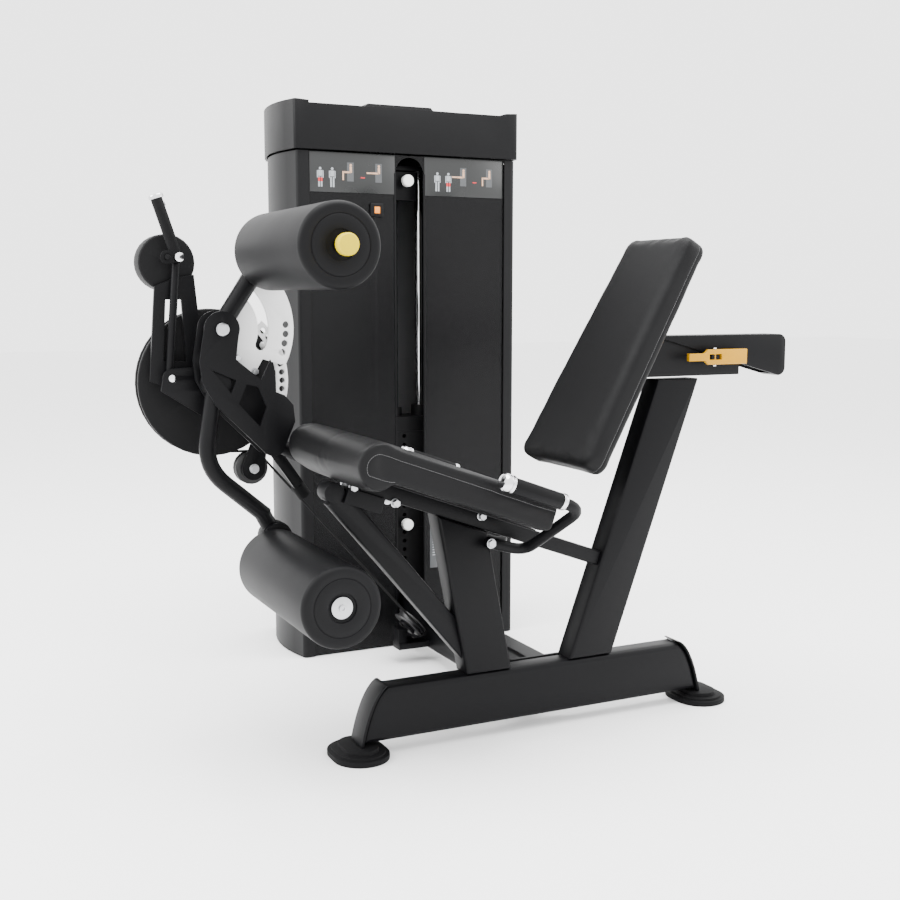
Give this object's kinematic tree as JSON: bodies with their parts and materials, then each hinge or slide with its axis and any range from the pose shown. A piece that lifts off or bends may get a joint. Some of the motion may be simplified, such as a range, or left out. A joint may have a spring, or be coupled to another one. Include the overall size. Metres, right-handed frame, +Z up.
{
  "type": "seated leg curl and extension machine",
  "caption": "Seated leg machine with a weight stack tower, padded seat and back, and a pivoting roller lever pulled by a cam and cable.",
  "frame": {"origin": "on the floor, midway along the machine's length and width", "axes": "+Z up; +X from the leg lever towards the backrest, along the seat; +Y from the seat towards the weight tower"},
  "size_m": [1.503, 1.348, 1.523],
  "materials": {
    "frame_black": "satin",
    "upholstery": "satin",
    "foam": "matte",
    "grip_rubber": "matte",
    "chrome": "polished",
    "zinc": "satin",
    "light_steel": "satin",
    "weights": "matte",
    "pulley_nylon": "satin",
    "shroud_grey": "satin",
    "panel_black": "satin",
    "knob_yellow": "gloss",
    "paddle_yellow": "satin",
    "knob_white": "gloss",
    "cable_coat": "satin"
  },
  "bodies": {
    "frame": {"base_beam": "frame_black", "beam_end_plate_front": "frame_black", "beam_end_plate_rear": "frame_black", "foot_front": "grip_rubber", "foot_rear": "grip_rubber", "base_spine": "frame_black", "front_post": "frame_black", "rear_post": "frame_black", "knee_subframe": "frame_black", "seat_rail": "frame_black", "back_arm": "frame_black", "seat_pad": "upholstery", "seat_handle_near": "frame_black", "seat_handle_far": "frame_black", "pivot_cheek_near": "frame_black", "pivot_cheek_far": "frame_black", "arm_pivot_bolt": "zinc", "arm_lock_plate": "light_steel", "stop_bar": "frame_black", "stop_bumper": "grip_rubber", "idler_bracket": "frame_black", "drive_cable": "cable_coat", "drive_cable_drop": "cable_coat", "tower_shroud_left": "shroud_grey", "tower_shroud_right": "shroud_grey", "front_panel_left": "panel_black", "front_panel_right": "panel_black", "rear_panel": "shroud_grey", "tower_cap": "shroud_grey", "tower_base": "frame_black", "tower_crossmember": "frame_black", "guide_rod_left": "chrome", "guide_rod_right": "chrome", "weight_plates_resting": "weights", "stack_buffer": "grip_rubber", "increment_carrier": "frame_black"},
    "stack": {"weight_plates_selected": "weights", "selector_head": "weights"},
    "pin": {"selector_pin": "knob_white"},
    "cam": {"cam_disc": "frame_black", "lever_lock_ring": "light_steel"},
    "lever": {"leg_lever": "frame_black", "counterweight_arm": "frame_black", "counterweight": "weights"},
    "link": {"roller_link": "frame_black"},
    "lower_roller": {"lower_roller": "foam"},
    "upper_arm": {"upper_arm": "frame_black"},
    "upper_roller": {"upper_roller": "foam"},
    "arm_knob": {"arm_release_knob": "knob_yellow"},
    "hand_lever": {"hand_lever": "frame_black"},
    "release_link": {"release_link": "frame_black"},
    "release_crank": {"release_crank": "frame_black"},
    "backrest": {"backrest_pad": "upholstery", "backrest_carriage": "frame_black"},
    "paddle": {"paddle_lever": "paddle_yellow"},
    "increment_knob": {"increment_knob": "knob_white"},
    "idler_pulley": {"idler_pulley": "pulley_nylon"},
    "base_pulley": {"base_pulley": "pulley_nylon"},
    "tower_low_pulley": {"tower_low_pulley": "pulley_nylon"},
    "tower_top_pulley": {"tower_top_pulley": "pulley_nylon"}
  },
  "joints": [
    {"name": "stack_lift", "type": "slide", "parent": "frame", "child": "stack", "axis": [0, 0, 1], "range_m": [0, 0.229], "deforming": ["drive_cable_drop"]},
    {"name": "selector_pin_pull", "type": "slide", "parent": "stack", "child": "pin", "axis": [0, -1, 0], "range_m": [0, 0.08]},
    {"name": "cam_turn", "type": "hinge", "parent": "frame", "child": "cam", "pos_m": [-0.6065, 0.007, 0.805], "axis": [0, 1, 0], "range_deg": [0, 80.5], "deforming": ["drive_cable"]},
    {"name": "lever_adjust", "type": "hinge", "parent": "cam", "child": "lever", "pos_m": [-0.6065, 0.007, 0.805], "axis": [0, 1, 0], "range_deg": [0, 49]},
    {"name": "roller_swing", "type": "hinge", "parent": "lever", "child": "link", "pos_m": [-0.4745, -0.1615, 0.447], "axis": [0, 1, 0], "range_deg": [-25, 25]},
    {"name": "lower_roller_spin", "type": "hinge", "parent": "link", "child": "lower_roller", "pos_m": [-0.4875, -0.3895, 0.386], "axis": [0, 1, 0], "continuous": true},
    {"name": "upper_arm_adjust", "type": "hinge", "parent": "frame", "child": "upper_arm", "pos_m": [-0.5965, -0.142, 0.925], "axis": [0, 1, 0], "range_deg": [0, 70]},
    {"name": "upper_roller_spin", "type": "hinge", "parent": "upper_arm", "child": "upper_roller", "pos_m": [-0.4825, -0.3895, 1.095], "axis": [0, 1, 0], "continuous": true},
    {"name": "arm_knob_pull", "type": "slide", "parent": "upper_arm", "child": "arm_knob", "axis": [0, -1, 0], "range_m": [0, 0.012], "stiffness_N_per_m": 900, "springref_m": -0.004},
    {"name": "hand_lever_pull", "type": "hinge", "parent": "lever", "child": "hand_lever", "pos_m": [-0.6905, -0.07, 1.084], "axis": [0, 1, 0], "range_deg": [0, 12], "stiffness_Nm_per_rad": 12, "springref_deg": -8.59},
    {"name": "release_link_pull", "type": "slide", "parent": "lever", "child": "release_link", "axis": [0, 0, 1], "range_m": [-0.006, 0]},
    {"name": "release_crank_turn", "type": "hinge", "parent": "lever", "child": "release_crank", "pos_m": [-0.6065, 0.007, 0.805], "axis": [0, 1, 0], "range_deg": [-4, 0]},
    {"name": "backrest_slide", "type": "slide", "parent": "frame", "child": "backrest", "axis": [-1, 0, 0], "range_m": [0, 0.12]},
    {"name": "paddle_squeeze", "type": "hinge", "parent": "frame", "child": "paddle", "pos_m": [0.5155, -0.46996, 0.854], "axis": [0, 0, -1], "range_deg": [0, 10], "stiffness_Nm_per_rad": 10, "springref_deg": -8.59},
    {"name": "increment_knob_pull", "type": "slide", "parent": "frame", "child": "increment_knob", "axis": [0, -1, 0], "range_m": [0, 0.01], "stiffness_N_per_m": 900, "springref_m": -0.004},
    {"name": "idler_pulley_spin", "type": "hinge", "parent": "frame", "child": "idler_pulley", "pos_m": [-0.4865, 0.00704, 0.59], "axis": [0, 1, 0], "range_deg": [-360, 5]},
    {"name": "base_pulley_spin", "type": "hinge", "parent": "frame", "child": "base_pulley", "pos_m": [0.00636, 0.17278, 0.10726], "axis": [0.729, 0.0531, 0.6824], "range_deg": [-360, 5]},
    {"name": "tower_low_pulley_spin", "type": "hinge", "parent": "frame", "child": "tower_low_pulley", "pos_m": [0.0375, 0.46854, 0.08961], "axis": [1, 0, 0], "range_deg": [-360, 5]},
    {"name": "tower_top_pulley_spin", "type": "hinge", "parent": "frame", "child": "tower_top_pulley", "pos_m": [0.0565, 0.46204, 1.425], "axis": [0.9212, 0.389, 0], "range_deg": [-360, 5]}
  ],
  "couplings": [
    {"joint": "cam_turn", "follows": "stack_lift", "rad_per_m": 6.1},
    {"joint": "idler_pulley_spin", "follows": "stack_lift", "rad_per_m": -26.5},
    {"joint": "base_pulley_spin", "follows": "stack_lift", "rad_per_m": -22},
    {"joint": "tower_low_pulley_spin", "follows": "stack_lift", "rad_per_m": -26},
    {"joint": "tower_top_pulley_spin", "follows": "stack_lift", "rad_per_m": -20.5},
    {"joint": "release_link_pull", "follows": "hand_lever_pull", "m_per_rad": -0.024},
    {"joint": "release_crank_turn", "follows": "hand_lever_pull", "ratio": -0.289}
  ]
}
